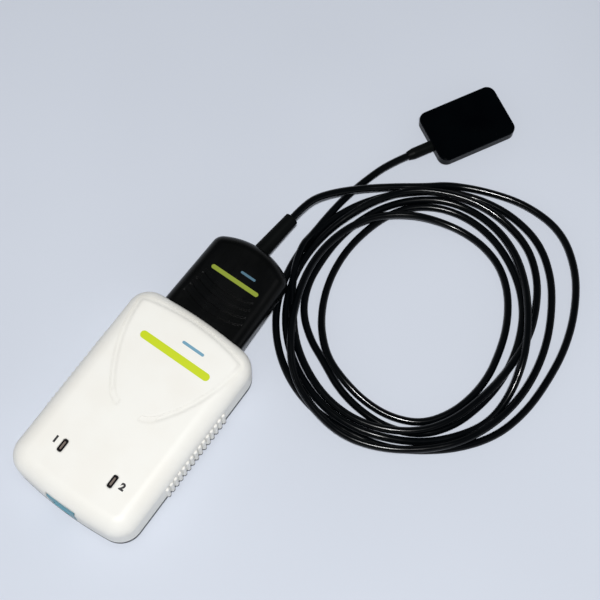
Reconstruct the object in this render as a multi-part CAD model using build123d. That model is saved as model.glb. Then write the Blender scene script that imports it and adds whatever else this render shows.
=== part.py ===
from build123d import *
import math
import os

# Dental x-ray sensor set: a white interface case, a black plug that slides into it, a coiled cable and
# the sensor head at the cable's far end. Millimetres. The origin is the middle of the case's underside,
# +Y runs along the case to the plug, +Z is up.

# Cuts run this far past the face they open, and bosses and rails start this deep in their wall
overrun = 1.0
root = 0.2

# Interface case
case_width = 55.6
case_length = 88.0
case_height = 20.0
case_wall = 1.8
case_floor = 1.8
case_roof = 1.8
case_corner_radius = 9.0
case_end_bow = 2.4
case_top_radius = 7.0
case_foot_radius = 1.0
base_height = 5.0
lip_height = 1.4
lip_thickness = 0.8
lip_clearance = 0.15
base_wall = case_wall + lip_clearance + lip_thickness

# Upright grip ribs along both long sides of the case, each with a round upper and lower end
rib_count = 15
rib_pitch = 2.47
rib_middle_y = 1.1
rib_radius = 1.0
rib_sink = 0.1
rib_low_z = 2.4
rib_top_setback = 8.1
rib_high_z = case_height - rib_top_setback

# Shield-shaped groove in the roof, placed by its outer edge: a shallow step with a deeper one inside
# it, each open between its flanks
groove_step_depth = 0.16
groove_depth = 0.32
groove_step_inset = 0.5
groove_width = 2.2
groove_side_setback = 3.05
groove_top_setback = 2.75
groove_top_bow = 3.6
groove_corner_radius = 3.0
groove_waist = 17.2
groove_waist_y = 10.0
groove_knee = 11.2
groove_knee_y = 0.9
groove_tail = 4.0
groove_tail_y = -3.0
groove_step_gap = 5.0
groove_gap = 10.3
groove_half_width = case_width / 2 - groove_side_setback
groove_top_y = case_length / 2 - groove_top_setback

# Main board and what it carries
board_thickness = 1.4
board_side_gap = 2.55
board_width = case_width - 2 * base_wall - 2 * board_side_gap
board_boss_height = 1.0
board_end_gap = 1.5
board_bottom = case_floor + board_boss_height
board_top = board_bottom + board_thickness
processor_size = 12.0
processor_height = 1.4
processor_gap = 3.5
controller_size = 8.0
controller_height = 1.1
controller_x = -10.0
controller_y = -14.0
regulator_length = 6.5
regulator_width = 3.6
regulator_height = 1.7
regulator_x = 11.0
crystal_length = 8.0
crystal_width = 3.4
crystal_height = 2.6
crystal_x = 3.0
crystal_gap = 5.3
capacitor_radius = 2.0
capacitor_height = 4.6
capacitor_count = 4
capacitor_pitch = 6.0
capacitor_setback = 10.4

# Case screws, in bosses under the board and posts over it
screw_side_setback = 7.6
screw_rear_setback = 12.0
screw_front_setback = 11.0
screw_radius = 1.1
screw_head_radius = 2.1
screw_head_height = 1.3
screw_head_recess = 0.3
screw_length = 9.0
screw_drive_radius = 0.9
screw_drive_depth = 0.7
screw_pilot_clearance = 0.08
screw_hole_clearance = 0.25
pilot_end_gap = 1.0
boss_radius = 3.1

# Status windows
window_x = 11.6
window_setback = 17.7
window_length = 5.4
window_width = 2.2
window_corner = 0.8
window_clearance = 0.1
window_flange = 0.7
window_flange_height = 1.0
led_length = 3.0
led_width = 1.6
led_height = 1.0
led_gap = 0.2
window_y = -case_length / 2 + window_setback

# Port for the computer cable, a square USB type B socket
port_width = 12.0
port_height = 10.9
port_depth = 16.0
port_shell_wall = 0.4
port_mouth_width = 8.5
port_mouth_height = 7.8
port_mouth_depth = 9.0
port_mouth_chamfer = 1.6
port_tongue_width = 5.6
port_tongue_height = 3.2
port_tongue_length = 8.0
port_contact_width = 1.0
port_contact_thickness = 0.25
port_contact_length = 6.6
port_contact_spacing = 2.0
bezel_frame = 0.3
bezel_depth = 2.4
bezel_clearance = 0.4
port_middle_z = board_top + port_height / 2

# Rating plate on the underside, blank
plate_length = 34.0
plate_width = 20.0
plate_thickness = 0.3
plate_y = -17.0
plate_clearance = 0.1

# Plug body
plug_width = 36.6
plug_insertion = 14.0
plug_shoulder_width = 34.6
plug_reach = 31.8
plug_crest_bow = 5.6
plug_corner_radius = 5.0
plug_edge_radius = 4.6
plug_wall = 1.6
socket_clearance = 0.3
socket_wall = 1.2
socket_back_wall = 1.5
socket_front_gap = 0.3
socket_head_gap = 1.0
plug_thickness = case_height - case_floor - case_roof - 2 * (socket_wall + socket_clearance)
plug_thickness -= socket_head_gap
plug_bottom = case_floor + socket_wall + socket_clearance
plug_middle = plug_bottom + plug_thickness / 2
plug_top = plug_bottom + plug_thickness
plug_front = case_length / 2 - plug_insertion
plug_shoulder_y = case_length / 2 + plug_reach
plug_crest_y = plug_shoulder_y + plug_crest_bow

# Finger grip on the plug: curved bars, each with a shallow groove before it
grip_offset = 9.2
grip_groove_width = 1.7
grip_groove_depth = 0.5
bar_count = 4
bar_pitch = 3.45
bar_width = 1.3
bar_rise = 0.35
bar_bow = 2.8
bar_half_length = 12.9
bar_shortening = 0.55
grip_y = case_length / 2 + grip_offset

# Contacts between plug and case
slot_width = 26.0
slot_height = 6.0
tongue_width = 24.0
tongue_thickness = 1.6
tongue_length = 8.0
contact_count = 8
contact_pitch = 2.6
contact_width = 1.0
spring_thickness = 0.3
pad_thickness = 0.2
pad_length = 6.5
contact_gap = 0.15
contact_clearance = 0.05
spring_end_gap = 0.6
plug_board_width = 25.0
plug_board_thickness = 1.2
plug_board_length = 32.0
plug_board_setback = 0.8
tongue_bottom = plug_middle + 0.2
pad_top = tongue_bottom - spring_thickness - contact_gap
plug_board_top = pad_top - pad_thickness
plug_board_bottom = plug_board_top - plug_board_thickness
plug_rail_width = 1.4

# Cable, its clamp and its strain relief
cable_diameter = 3.0
cable_fit = 0.05
cable_radius = cable_diameter / 2
clamp_length = 5.0
clamp_width = 14.0
clamp_height = 2.6
clamp_flange_gap = 1.5
cable_past_clamp = 0.5
plug_screw_x = 10.8
plug_screw_setback = 7.0
plug_screw_length = 7.0
plug_post_radius = 2.7
relief_reach = 18.3
relief_lean = 5.3
relief_root_radius = 3.3
relief_tip_radius = 2.8
relief_flange_radius = 4.2
relief_flange_thickness = 1.5
relief_flange_gap = 0.6
relief_clearance = 0.1
relief_slope = math.tan(math.radians(relief_lean))
relief_length = relief_reach / math.cos(math.radians(relief_lean))
relief_tip_x = relief_reach * relief_slope
relief_tip_y = plug_crest_y + relief_reach
relief_flange_y = plug_shoulder_y - plug_wall - relief_flange_gap
clamp_y = relief_flange_y - clamp_flange_gap - clamp_length / 2
cable_end_y = clamp_y - clamp_length / 2 - cable_past_clamp
plug_screw_y = plug_shoulder_y - plug_screw_setback
wire_radius = 0.3
wire_pitch = 0.8
wire_count = 4
wire_landing = 2.5

# Sensor head, built along its own X and then turned and placed
sensor_x = 34.5
sensor_reach = 78.8
sensor_turn = 60.5
sensor_length = 34.8
sensor_width = 24.0
sensor_corner_radius = 3.8
sensor_cable_y = -2.2
sensor_edge_radius = 0.7
sensor_wall = 1.0
sensor_floor = 0.9
sensor_face_thickness = 0.9
pad_foam = 0.5
carrier_thickness = 0.8
chip_thickness = 0.6
fibre_thickness = 1.0
scintillator_thickness = 0.3
stack_clearance = 0.3
anchor_length = 3.6
anchor_width = 7.0
anchor_height = 2.6
core_radius = 0.9
core_tail = 0.6
core_lift = 0.1
carrier_step = 1.6
boot_radius = 2.3
boot_tip_radius = 1.8
boot_length = 8.3
boot_taper = 2.6
sensor_wire_radius = 0.2
sensor_wire_pitch = 0.45
sensor_body_height = sensor_floor + pad_foam + carrier_thickness + chip_thickness + fibre_thickness
sensor_body_height += scintillator_thickness
sensor_entry_z = sensor_floor + cable_radius + core_lift
sensor_y = relief_tip_y + sensor_reach

# Coiled cable: the ring that the turns fill, as radii every 30 degrees about its middle
coil_x = 63.1
coil_setback = 0.4
coil_y = relief_tip_y - coil_setback
coil_start_angle = 35.5
coil_height = 6.2
coil_outer_radii = [63.4, 69.0, 60.7, 55.2, 55.5, 54.0, 57.3, 59.2, 60.4, 58.4, 59.3, 58.5]
coil_inner_radii = [34.1, 36.6, 37.2, 38.0, 37.7, 35.3, 36.1, 39.3, 41.3, 44.0, 38.8, 34.1]
coil_plug_clearance = 0.6

# Free leads: hand-chosen route points from the plug to the coil, and from the coil to the sensor
plug_lead_start = 8.8
plug_lead_points = [
    (relief_tip_x, relief_tip_y, plug_middle),
    (relief_tip_x + plug_lead_start * relief_slope, relief_tip_y + plug_lead_start, plug_middle),
    (relief_tip_x + 3.9, relief_tip_y + 16.5, 7.9),
    (relief_tip_x + 11.7, relief_tip_y + 26.3, 5.9),
    (relief_tip_x + 23.1, relief_tip_y + 36.4, 4.8),
    (relief_tip_x + 35.1, relief_tip_y + 45.1, 4.6),
]
sensor_lead_runs = [
    (9.0, 0.0, 0.0), (12.0, 12.0, -0.4), (11.3, 17.0, -0.4), (10.5, 23.5, -0.2), (10.3, 27.5, 0.0)
]
arc_share = 0.45


def bowed_outline(half_width, half_length, bow, corner):
    """Rectangle in the XY plane whose two short ends bow outward, with rounded corners."""
    side = half_length - bow
    outline = ThreePointArc((-half_width, side), (0, half_length), (half_width, side))
    outline += Line((half_width, side), (half_width, -side))
    outline += ThreePointArc((half_width, -side), (0, -half_length), (-half_width, -side))
    outline += Line((-half_width, -side), (-half_width, side))
    face = make_face(outline)
    return fillet(face.vertices(), corner)


def case_block(inset, bottom, top, top_radius=0.0, foot_radius=0.0):
    """Solid inside the case's outline moved in by inset, between two heights."""
    outline = bowed_outline(
        case_width / 2 - inset, case_length / 2 - inset, case_end_bow, case_corner_radius - inset
    )
    block = extrude(Pos(0, 0, bottom) * outline, top - bottom)
    if top_radius > 0:
        block = fillet(block.edges().group_by(Axis.Z)[-1], top_radius)
    if foot_radius > 0:
        block = fillet(block.edges().group_by(Axis.Z)[0], foot_radius)
    return block


def block_between(x_low, x_high, y_low, y_high, z_low, z_high):
    """Box from its low corner to its high corner."""
    size = (x_high - x_low, y_high - y_low, z_high - z_low)
    middle = ((x_low + x_high) / 2, (y_low + y_high) / 2, (z_low + z_high) / 2)
    return Pos(*middle) * Box(*size)


def rod(radius, start, length, axis="Z"):
    """Cylinder that begins at a point and runs along +X, +Y or +Z."""
    cylinder = Cylinder(radius, length, align=(Align.CENTER, Align.CENTER, Align.MIN))
    if axis == "Y":
        cylinder = Rot(-90, 0, 0) * cylinder
    if axis == "X":
        cylinder = Rot(0, 90, 0) * cylinder
    return Pos(*start) * cylinder


def screw_places():
    """The four case screws' places in plan."""
    side = case_width / 2 - screw_side_setback
    rear = -case_length / 2 + screw_rear_setback
    return [(x, y) for y in (rear, plug_front - screw_front_setback) for x in (-side, side)]


def plug_section(grow, y_low, y_high):
    """The plug's straight front part, larger by grow on every side, between two places along Y."""
    profile = RectangleRounded(
        plug_width + 2 * grow, plug_thickness + 2 * grow, plug_edge_radius + grow
    )
    plane = Plane(origin=(0, y_low, plug_middle), x_dir=(1, 0, 0), z_dir=(0, 1, 0))
    return extrude(plane * profile, y_high - y_low)


def port_opening(clearance):
    """Space that the port's bezel takes through the case's end wall."""
    half = port_width / 2 + bezel_frame + clearance
    return block_between(
        -half, half, -case_length / 2 - overrun, -case_length / 2 + case_end_bow + base_wall,
        port_middle_z - port_height / 2 - bezel_frame,
        port_middle_z + port_height / 2 + bezel_frame + clearance,
    )


def grip_ribs(low, high, round_end):
    """Rib stretches on both long sides of the case between two heights, with one end round."""
    reach = case_width / 2 - rib_sink
    ribs = []
    for place in range(rib_count):
        rib_y = rib_middle_y + (place - (rib_count - 1) / 2) * rib_pitch
        rib = rod(rib_radius, (reach, rib_y, low), high - low)
        rib += Pos(reach, rib_y, round_end) * Sphere(rib_radius)
        ribs += [rib, mirror(rib, Plane.YZ)]
    return ribs


def groove_ring(inset, half_gap):
    """Tall prism over the groove's track less inset on both sides: a shield that is open at its foot."""
    side_y = groove_top_y - groove_top_bow
    flank = ThreePointArc(
        (groove_half_width, side_y), (groove_waist, groove_waist_y), (groove_knee, groove_knee_y)
    )
    right = flank + TangentArc(flank @ 1, (groove_tail, groove_tail_y), tangent=flank % 1)
    left = mirror(right, Plane.YZ)
    crest = ThreePointArc((-groove_half_width, side_y), (0, groove_top_y), (groove_half_width, side_y))
    foot = Line((-groove_tail, groove_tail_y), (groove_tail, groove_tail_y))
    shield = make_face(right + left + crest + foot)
    corners = shield.vertices().sort_by(Axis.Y)[-2:]
    shield = fillet(corners, groove_corner_radius)
    height = case_height + overrun
    outer = offset(shield, -inset) if inset > 0 else shield
    ring = extrude(outer, height) - extrude(offset(shield, inset - groove_width), height)
    gap = block_between(
        -half_gap, half_gap, groove_tail_y - groove_width, groove_waist_y, -overrun, height + overrun
    )
    return ring - gap


def make_top_cover():
    """Upper shell with posts, grip ribs, roof groove, status slots and the two end cut-outs."""
    cover = case_block(0, base_height, case_height, case_top_radius)
    cover += grip_ribs(base_height, rib_high_z, rib_high_z)
    steps = [(groove_step_depth, 0, groove_step_gap), (groove_depth, groove_step_inset, groove_gap)]
    for depth, inset, half_gap in steps:
        below = case_block(depth, 0, case_height - depth, case_top_radius - depth)
        cover -= groove_ring(inset, half_gap) - below
    inside_radius = case_top_radius - case_wall
    ceiling = case_height - case_roof
    cover -= case_block(case_wall, base_height - overrun, ceiling, inside_radius)
    cover += [
        rod(boss_radius, (x, y, board_top), ceiling + root - board_top) for x, y in screw_places()
    ]
    pilot_start = board_top - overrun
    pilot_length = case_floor_seat() + screw_length + pilot_end_gap - pilot_start
    for x, y in screw_places():
        cover -= rod(screw_radius + screw_pilot_clearance, (x, y, pilot_start), pilot_length)
    for side in (-1, 1):
        cover -= extrude(window_outline(side, ceiling - overrun, 0), case_roof + 2 * overrun)
    cover -= plug_section(socket_clearance, socket_front_y() - overrun, case_length)
    cover -= port_opening(bezel_clearance)
    return cover


def case_floor_seat():
    """Height of the face that each case screw's head pulls against."""
    return screw_head_recess + screw_head_height


def make_bottom_cover():
    """Shallow tray with the ribs' feet, alignment lip, screw bosses and rating plate recess."""
    tray = case_block(0, 0, base_height, 0, case_foot_radius)
    tray += grip_ribs(rib_low_z, base_height, rib_low_z)
    lip_inset = case_wall + lip_clearance
    tray += case_block(lip_inset, base_height, base_height + lip_height)
    tray -= case_block(base_wall, case_floor, base_height + lip_height + overrun)
    for x, y in screw_places():
        tray += rod(boss_radius, (x, y, case_floor - root), board_bottom - case_floor + root)
    for x, y in screw_places():
        tray -= rod(screw_radius + screw_hole_clearance, (x, y, -overrun), board_bottom + 2 * overrun)
        tray -= rod(
            screw_head_radius + screw_hole_clearance, (x, y, -overrun), case_floor_seat() + overrun
        )
    tray -= plug_section(socket_clearance, socket_front_y() - overrun, case_length)
    tray -= port_opening(bezel_clearance)
    plate_space = (plate_length + 2 * plate_clearance, plate_width + 2 * plate_clearance)
    recess = Pos(0, plate_y, 0) * Box(*plate_space, 2 * plate_thickness)
    tray -= recess
    return tray


def make_rating_plate():
    """Blank label, flush with the underside."""
    return block_between(
        -plate_length / 2, plate_length / 2, plate_y - plate_width / 2, plate_y + plate_width / 2,
        0, plate_thickness,
    )


def make_case_screws():
    """Four pan-head screws driven up from the underside."""
    return [screw_solid(x, y, screw_head_recess, screw_length) for x, y in screw_places()]


def screw_solid(x, y, head_bottom, length):
    """One screw, head down, with a round drive recess."""
    head = rod(screw_head_radius, (x, y, head_bottom), screw_head_height)
    shank = rod(screw_radius, (x, y, head_bottom + screw_head_height), length)
    drive = rod(screw_drive_radius, (x, y, head_bottom - overrun), screw_drive_depth + overrun)
    return head + shank - drive


def make_main_board():
    """Circuit board with holes for the four screws."""
    rear = -case_length / 2 + case_end_bow + base_wall + board_end_gap
    board = block_between(
        -board_width / 2, board_width / 2, rear, board_front_y(), board_bottom, board_top
    )
    for x, y in screw_places():
        board -= rod(
            screw_radius + screw_hole_clearance, (x, y, board_bottom - overrun),
            board_thickness + 2 * overrun,
        )
    return board


def socket_back_y():
    """Inner face of the socket's back wall, just clear of the seated plug."""
    return plug_front - socket_front_gap


def board_front_y():
    """Front edge of the main board, just behind the socket."""
    return socket_back_y() - socket_back_wall - socket_clearance


def on_board(length, width, height, x, y):
    """Box that stands on the main board."""
    return block_between(
        x - length / 2, x + length / 2, y - width / 2, y + width / 2, board_top, board_top + height
    )


def capacitor_row_y():
    """Middle line of the capacitors, set back from the board's front edge."""
    return board_front_y() - capacitor_setback


def processor_y():
    """Middle of the image processor, behind the capacitors."""
    return capacitor_row_y() - capacitor_radius - processor_gap - processor_size / 2


def crystal_y():
    """Middle of the clock crystal, behind the image processor."""
    return processor_y() - processor_size / 2 - crystal_gap - crystal_width / 2


def make_board_capacitors():
    """Row of round capacitors standing on the main board."""
    start = -(capacitor_count - 1) / 2 * capacitor_pitch
    y = capacitor_row_y()
    return [
        rod(capacitor_radius, (start + place * capacitor_pitch, y, board_top), capacitor_height)
        for place in range(capacitor_count)
    ]


def make_status_leds():
    """Two light sources on the main board, under the windows."""
    return [on_board(led_width, led_length, led_height, side * window_x, window_y) for side in (-1, 1)]


def window_outline(side, height, grow):
    """Rounded outline of a status window, larger by grow all round."""
    outline = RectangleRounded(window_width + 2 * grow, window_length + 2 * grow, window_corner + grow)
    return Pos(side * window_x, window_y, height) * outline


def make_light_pipe(side):
    """Smoked pillar that carries light from its source to the roof, with a flange under the roof."""
    ceiling = case_height - case_roof
    bottom = board_top + led_height + led_gap
    pipe = extrude(window_outline(side, bottom, -window_clearance), case_height - bottom)
    flange_bottom = ceiling - window_flange_height
    return pipe + extrude(window_outline(side, flange_bottom, window_flange), window_flange_height)


def port_front_y():
    """Front of the port's steel shell, behind the bezel."""
    return -case_length / 2 + bezel_depth


def port_mouth(y_low, y_high):
    """The port's mouth: a square opening with its two upper corners cut off."""
    half = port_mouth_width / 2
    low = port_middle_z - port_mouth_height / 2
    high = port_middle_z + port_mouth_height / 2
    cut = port_mouth_chamfer
    outline = Polyline(
        (-half, low), (half, low), (half, high - cut), (half - cut, high), (cut - half, high),
        (-half, high - cut), close=True,
    )
    plane = Plane(origin=(0, y_high, 0), x_dir=(1, 0, 0), z_dir=(0, -1, 0))
    return extrude(plane * make_face(outline), y_high - y_low)


def make_usb_shell():
    """Steel tube around the port's insulator."""
    front = port_front_y()
    half = port_width / 2
    bottom = port_middle_z - port_height / 2
    top = port_middle_z + port_height / 2
    wall = port_shell_wall
    back = front + port_depth
    shell = block_between(-half, half, front, back, bottom, top)
    return shell - block_between(
        wall - half, half - wall, front - overrun, back + overrun, bottom + wall, top - wall
    )


def make_usb_insulator():
    """Plastic body of the port with its mouth and middle tongue."""
    front = port_front_y()
    half = port_width / 2 - port_shell_wall
    rise = port_height / 2 - port_shell_wall
    body = block_between(
        -half, half, front, front + port_depth, port_middle_z - rise, port_middle_z + rise
    )
    body -= port_mouth(front - overrun, front + port_mouth_depth)
    tongue_half = port_tongue_height / 2
    tongue = block_between(
        -port_tongue_width / 2, port_tongue_width / 2,
        front + port_mouth_depth - port_tongue_length, front + port_mouth_depth + root,
        port_middle_z - tongue_half, port_middle_z + tongue_half,
    )
    return body + tongue


def make_usb_contacts():
    """Four flat contacts, two above and two below the port's tongue."""
    back = port_front_y() + port_mouth_depth
    contacts = []
    for x in (-port_contact_spacing / 2, port_contact_spacing / 2):
        left = x - port_contact_width / 2
        right = x + port_contact_width / 2
        top = port_middle_z + port_tongue_height / 2
        bottom = port_middle_z - port_tongue_height / 2
        start = back - port_contact_length
        contacts.append(block_between(left, right, start, back, top, top + port_contact_thickness))
        contacts.append(block_between(left, right, start, back, bottom - port_contact_thickness, bottom))
    return contacts


def make_port_bezel():
    """Coloured frame around the port's mouth, flush with the case's end."""
    half = port_width / 2 + bezel_frame
    rise = port_height / 2 + bezel_frame
    frame = block_between(
        -half, half, -case_length / 2, port_front_y(), port_middle_z - rise, port_middle_z + rise
    )
    frame -= port_mouth(-case_length / 2 - overrun, port_front_y() + overrun)
    outline = case_block(0, 0, case_height, case_top_radius)
    return frame & outline


def socket_front_y():
    """Front edge of the socket sleeve, just inside the case's bowed end wall."""
    return case_length / 2 - case_end_bow - base_wall - socket_clearance


def contact_places():
    """Places across the plug of the contacts in a row."""
    start = -(contact_count - 1) / 2 * contact_pitch
    return [start + place * contact_pitch for place in range(contact_count)]


def make_socket_housing():
    """Sleeve that guides the plug, with a back wall and the tongue that carries the springs."""
    back = socket_back_y()
    sleeve_half = plug_width / 2 + socket_clearance + socket_wall
    low = plug_bottom - socket_clearance - socket_wall
    high = plug_top + socket_clearance + socket_wall
    sleeve = block_between(-sleeve_half, sleeve_half, back - socket_back_wall, socket_front_y(), low, high)
    sleeve -= plug_section(socket_clearance, back, case_length)
    sleeve += block_between(
        -tongue_width / 2, tongue_width / 2, back - root, back + tongue_length,
        tongue_bottom, tongue_bottom + tongue_thickness,
    )
    for x in contact_places():
        half = contact_width / 2 + contact_clearance
        sleeve -= block_between(
            x - half, x + half, back - socket_back_wall - overrun, back,
            tongue_bottom - spring_thickness - contact_clearance, tongue_bottom,
        )
    return sleeve


def make_socket_springs():
    """Row of bent contact springs, from under the tongue back and down to the main board."""
    back = socket_back_y()
    outer = back - socket_back_wall
    tail_y = outer - socket_clearance - 2 * spring_thickness
    springs = []
    for x in contact_places():
        half = contact_width / 2
        blade = block_between(
            x - half, x + half, tail_y, back + tongue_length - spring_end_gap,
            tongue_bottom - spring_thickness, tongue_bottom,
        )
        tail = block_between(
            x - half, x + half, tail_y, tail_y + spring_thickness, board_top, tongue_bottom
        )
        springs.append(blade + tail)
    return springs


def plug_outline(grow=0.0):
    """The plug's outline in plan, or a larger copy of it."""
    half = plug_width / 2 + grow
    shoulder = plug_shoulder_width / 2 + grow
    front = plug_front - grow
    straight_end = case_length / 2
    outline = Line((-half, front), (half, front))
    outline += Line((half, front), (half, straight_end))
    outline += Line((half, straight_end), (shoulder, plug_shoulder_y))
    outline += ThreePointArc(
        (shoulder, plug_shoulder_y), (0, plug_crest_y + grow), (-shoulder, plug_shoulder_y)
    )
    outline += Line((-shoulder, plug_shoulder_y), (-half, straight_end))
    outline += Line((-half, straight_end), (-half, front))
    face = make_face(outline)
    return fillet(face.vertices().sort_by(Axis.Y)[-2:], plug_corner_radius + grow)


def plug_outside():
    """The plug's closed outer shape: all edges rounded but those of the flat front face."""
    block = extrude(Pos(0, 0, plug_bottom) * plug_outline(), plug_thickness)
    rims = block.edges().group_by(Axis.Z)
    rounded = rims[-1].sort_by(Axis.Y)[1:] + rims[0].sort_by(Axis.Y)[1:]
    return fillet(rounded, plug_edge_radius)


def plug_cavity():
    """Hollow inside the plug."""
    half = plug_shoulder_width / 2 - plug_wall - plug_corner_radius / 2
    return block_between(
        -half, half, plug_front + plug_wall, plug_shoulder_y - plug_wall,
        plug_bottom + plug_wall, plug_top - plug_wall,
    )


def grip_band(y, half_length, half_height):
    """Face of a band across the plug that is lowest in its middle and has round ends."""
    rise = bar_bow * (half_length / bar_half_length) ** 2
    track = ThreePointArc((-half_length, y + rise), (0, y), (half_length, y + rise))
    return make_face(track.offset_2d(half_height))


def plug_grip():
    """Curved grooves and bars of the finger grip in the plug's top, shorter toward the cable."""
    grooves = []
    bars = []
    for place in range(bar_count):
        y = grip_y + (place - (bar_count - 1) / 2) * bar_pitch
        half_length = bar_half_length - place * bar_shortening
        groove = grip_band(y - bar_pitch / 2, half_length, grip_groove_width / 2)
        low = plug_top - grip_groove_depth
        grooves.append(extrude(Pos(0, 0, low) * groove, grip_groove_depth + overrun))
        bar = grip_band(y, half_length, bar_width / 2)
        bars.append(extrude(Pos(0, 0, plug_top - root) * bar, root + bar_rise))
    return grooves, bars


def plug_halves():
    """Upper and lower plug shells, parted at mid height."""
    outside = plug_outside()
    grooves, bars = plug_grip()
    shell = outside - grooves + bars
    shell -= plug_cavity()
    slot_half = slot_width / 2
    shell -= block_between(
        -slot_half, slot_half, plug_front - overrun, plug_front + plug_wall + overrun,
        plug_middle - slot_height / 2, plug_middle + slot_height / 2,
    )
    shell -= rod(
        relief_root_radius + relief_clearance, (0, relief_flange_y, plug_middle),
        plug_crest_y - relief_flange_y + overrun, "Y",
    )
    shell -= rod(
        relief_flange_radius + relief_clearance, (0, relief_flange_y - overrun, plug_middle),
        overrun + relief_flange_thickness + relief_clearance, "Y",
    )
    front = plug_front - overrun
    back = plug_crest_y + overrun
    side = plug_width / 2 + overrun
    upper = shell & block_between(-side, side, front, back, plug_middle, plug_top + overrun)
    lower = shell & block_between(-side, side, front, back, plug_bottom - overrun, plug_middle)
    return upper, lower


def make_plug_shells():
    """Both plug shells with their rails, pedestal, posts and bosses."""
    upper, lower = plug_halves()
    floor = plug_bottom + plug_wall
    ceiling = plug_top - plug_wall
    board_start = plug_front + plug_wall + plug_board_setback
    rail_length = plug_board_length - 2 * plug_board_setback
    for side in (-1, 1):
        rail_x = side * (plug_board_width / 2 - plug_rail_width)
        lower += block_between(
            rail_x - plug_rail_width / 2, rail_x + plug_rail_width / 2, board_start,
            board_start + rail_length, floor - root, plug_board_bottom,
        )
        upper += block_between(
            rail_x - plug_rail_width / 2, rail_x + plug_rail_width / 2, board_start + rail_length / 2,
            board_start + rail_length, plug_board_top, ceiling + root,
        )
    half = clamp_width / 2
    lower += block_between(
        -half, half, clamp_y - clamp_length / 2, clamp_y + clamp_length / 2, floor - root, plug_middle
    )
    lower -= rod(
        cable_radius + cable_fit, (0, clamp_y - clamp_length, plug_middle), 2 * clamp_length, "Y"
    )
    upper += block_between(
        -half, half, clamp_y - clamp_length / 2, clamp_y + clamp_length / 2,
        plug_middle + clamp_height, ceiling + root,
    )
    head_seat = plug_bottom + screw_head_recess + screw_head_height
    for side in (-1, 1):
        x = side * plug_screw_x
        below = plug_bottom - overrun
        pilot_start = plug_middle - overrun
        lower += rod(plug_post_radius, (x, plug_screw_y, floor - root), plug_middle - floor + root)
        upper += rod(plug_post_radius, (x, plug_screw_y, plug_middle), ceiling - plug_middle + root)
        lower -= rod(
            screw_radius + screw_hole_clearance, (x, plug_screw_y, below), plug_middle - below + overrun
        )
        lower -= rod(
            screw_head_radius + screw_hole_clearance, (x, plug_screw_y, below), head_seat - below
        )
        upper -= rod(
            screw_radius + screw_pilot_clearance, (x, plug_screw_y, pilot_start),
            head_seat + plug_screw_length + pilot_end_gap - pilot_start,
        )
    return upper, lower


def make_plug_screws():
    """Two screws driven up through the lower plug shell."""
    head_bottom = plug_bottom + screw_head_recess
    return [
        screw_solid(side * plug_screw_x, plug_screw_y, head_bottom, plug_screw_length)
        for side in (-1, 1)
    ]


def make_plug_board():
    """Small board behind the plug's mouth."""
    start = plug_front + plug_board_setback
    half = plug_board_width / 2
    return block_between(-half, half, start, start + plug_board_length, plug_board_bottom, plug_board_top)


def make_plug_pads():
    """Row of gold contact pads on the plug's board, just under the socket's springs."""
    start = plug_front + plug_board_setback
    half = contact_width / 2
    return [
        block_between(x - half, x + half, start, start + pad_length, plug_board_top, pad_top)
        for x in contact_places()
    ]


def make_cable_clamp():
    """Bar that holds the cable down on its pedestal."""
    half = clamp_width / 2
    bar = block_between(
        -half, half, clamp_y - clamp_length / 2, clamp_y + clamp_length / 2,
        plug_middle, plug_middle + clamp_height,
    )
    return bar - rod(
        cable_radius + cable_fit, (0, clamp_y - clamp_length, plug_middle), 2 * clamp_length, "Y"
    )


def make_strain_relief():
    """Tapered rubber sleeve with a flange inside the plug."""
    neck_length = plug_crest_y - relief_flange_y
    relief = rod(relief_flange_radius, (0, relief_flange_y, plug_middle), relief_flange_thickness, "Y")
    relief += rod(relief_root_radius, (0, relief_flange_y, plug_middle), neck_length, "Y")
    taper = Cone(
        relief_root_radius, relief_tip_radius, relief_length,
        align=(Align.CENTER, Align.CENTER, Align.MIN),
    )
    relief += relief_axis() * Sphere(relief_root_radius)
    relief += relief_axis() * taper
    return relief - leaning_rod(cable_radius + cable_fit, relief_flange_y - overrun, overrun)


def relief_axis():
    """Place and direction of the strain relief where it leaves the plug."""
    return Pos(0, plug_crest_y, plug_middle) * Rot(0, 0, -relief_lean) * Rot(-90, 0, 0)


def leaning_rod(radius, start_y, beyond):
    """Rod along the cable's end: straight to the plug's crest, then along the leaning strain relief."""
    straight = rod(radius, (0, start_y, plug_middle), plug_crest_y - start_y, "Y")
    elbow = relief_axis() * Sphere(radius)
    return straight + elbow + relief_axis() * rod(radius, (0, 0, 0), relief_length + beyond)


def make_plug_cable_end():
    """The cable's end inside the plug and its strain relief."""
    return leaning_rod(cable_radius, cable_end_y, 0)


def wire_places(pitch):
    """Places across of the cable's four conductors."""
    start = -(wire_count - 1) / 2 * pitch
    return [start + place * pitch for place in range(wire_count)]


def make_plug_wires():
    """Four conductors from the cable's end to the plug's board."""
    start = plug_front + plug_board_setback + plug_board_length - wire_landing
    z = plug_board_top + wire_radius
    return [rod(wire_radius, (x, start, z), cable_end_y - start, "Y") for x in wire_places(wire_pitch)]


def sensor_place():
    """Turns and moves a piece of the sensor head from its own frame to its place."""
    return Location((sensor_x, sensor_y, 0), (0, 0, sensor_turn))


def sensor_slab(inset, bottom, top):
    """Rounded plate in the sensor's own frame."""
    outline = RectangleRounded(
        sensor_length - 2 * inset, sensor_width - 2 * inset, sensor_corner_radius - inset
    )
    return extrude(Pos(0, 0, bottom) * outline, top - bottom)


def make_sensor_back_shell():
    """Tray of the sensor head with the cable's hole in one end."""
    shell = sensor_slab(0, 0, sensor_body_height)
    shell = fillet(shell.edges().group_by(Axis.Z)[0], sensor_edge_radius)
    shell -= sensor_slab(sensor_wall, sensor_floor, sensor_body_height + overrun)
    shell -= rod(
        cable_radius + cable_fit, (-sensor_length / 2 - overrun, sensor_cable_y, sensor_entry_z),
        sensor_wall + 2 * overrun, "X",
    )
    return shell


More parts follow.
